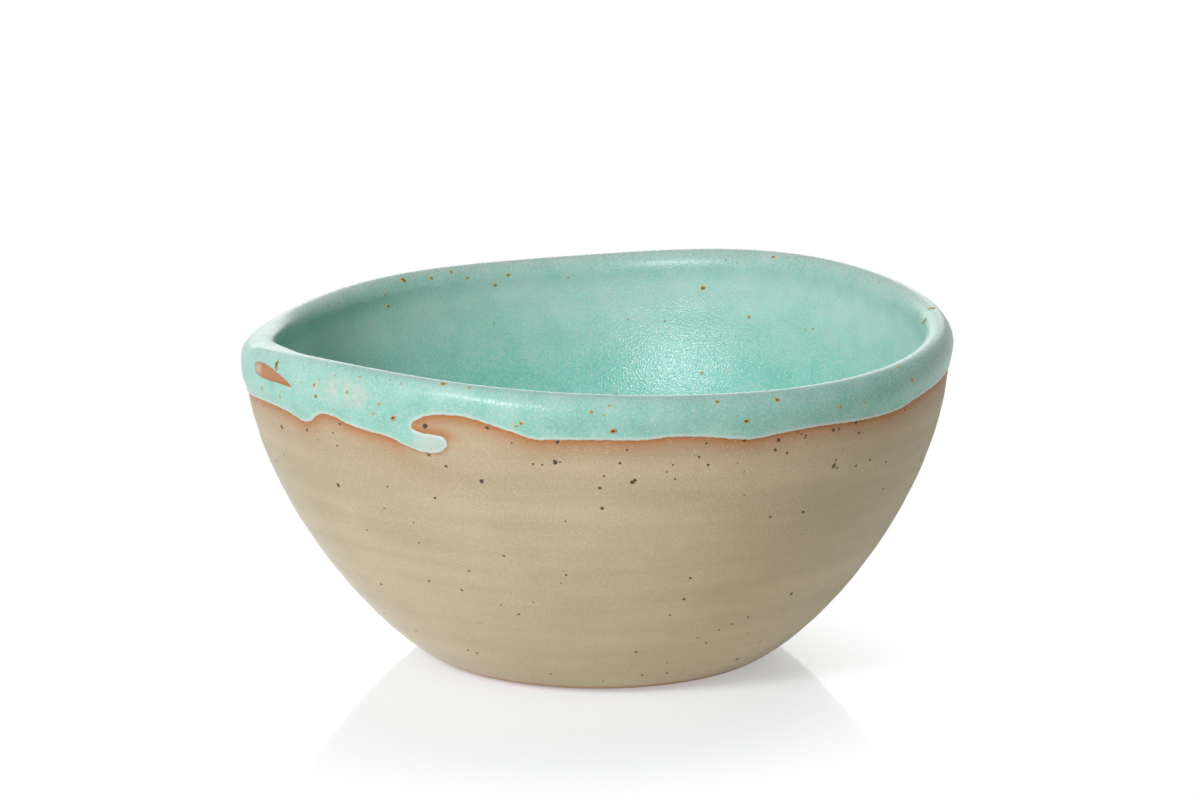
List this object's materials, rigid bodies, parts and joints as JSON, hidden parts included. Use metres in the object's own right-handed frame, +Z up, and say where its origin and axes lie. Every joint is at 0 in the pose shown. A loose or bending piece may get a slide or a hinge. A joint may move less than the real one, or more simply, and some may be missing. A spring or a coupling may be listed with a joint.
{
  "type": "cereal bowl",
  "caption": "Hand-thrown stoneware cereal bowl with a flat foot, bare buff clay outside, and turquoise glaze inside and over a gently waving lip that ends in a ragged edge with a hooked run.",
  "frame": {"origin": "centre of the flat foot on the turning axis, on the surface the bowl stands on", "axes": "+Z up along the turning axis; -Y is the side with the hooked run of glaze, which faces the viewer; +X is to that viewer's right"},
  "size_m": [0.1534, 0.1546, 0.076],
  "materials": {
    "stoneware": "unglazed buff stoneware, matt, fine sandy grain with dark iron specks",
    "glaze": "satin turquoise glaze, softly mottled, with rust specks"
  },
  "bodies": {
    "root": {"stoneware_body": "stoneware", "liner_glaze": "glaze", "rim_glaze": "glaze"}
  },
  "joints": []
}
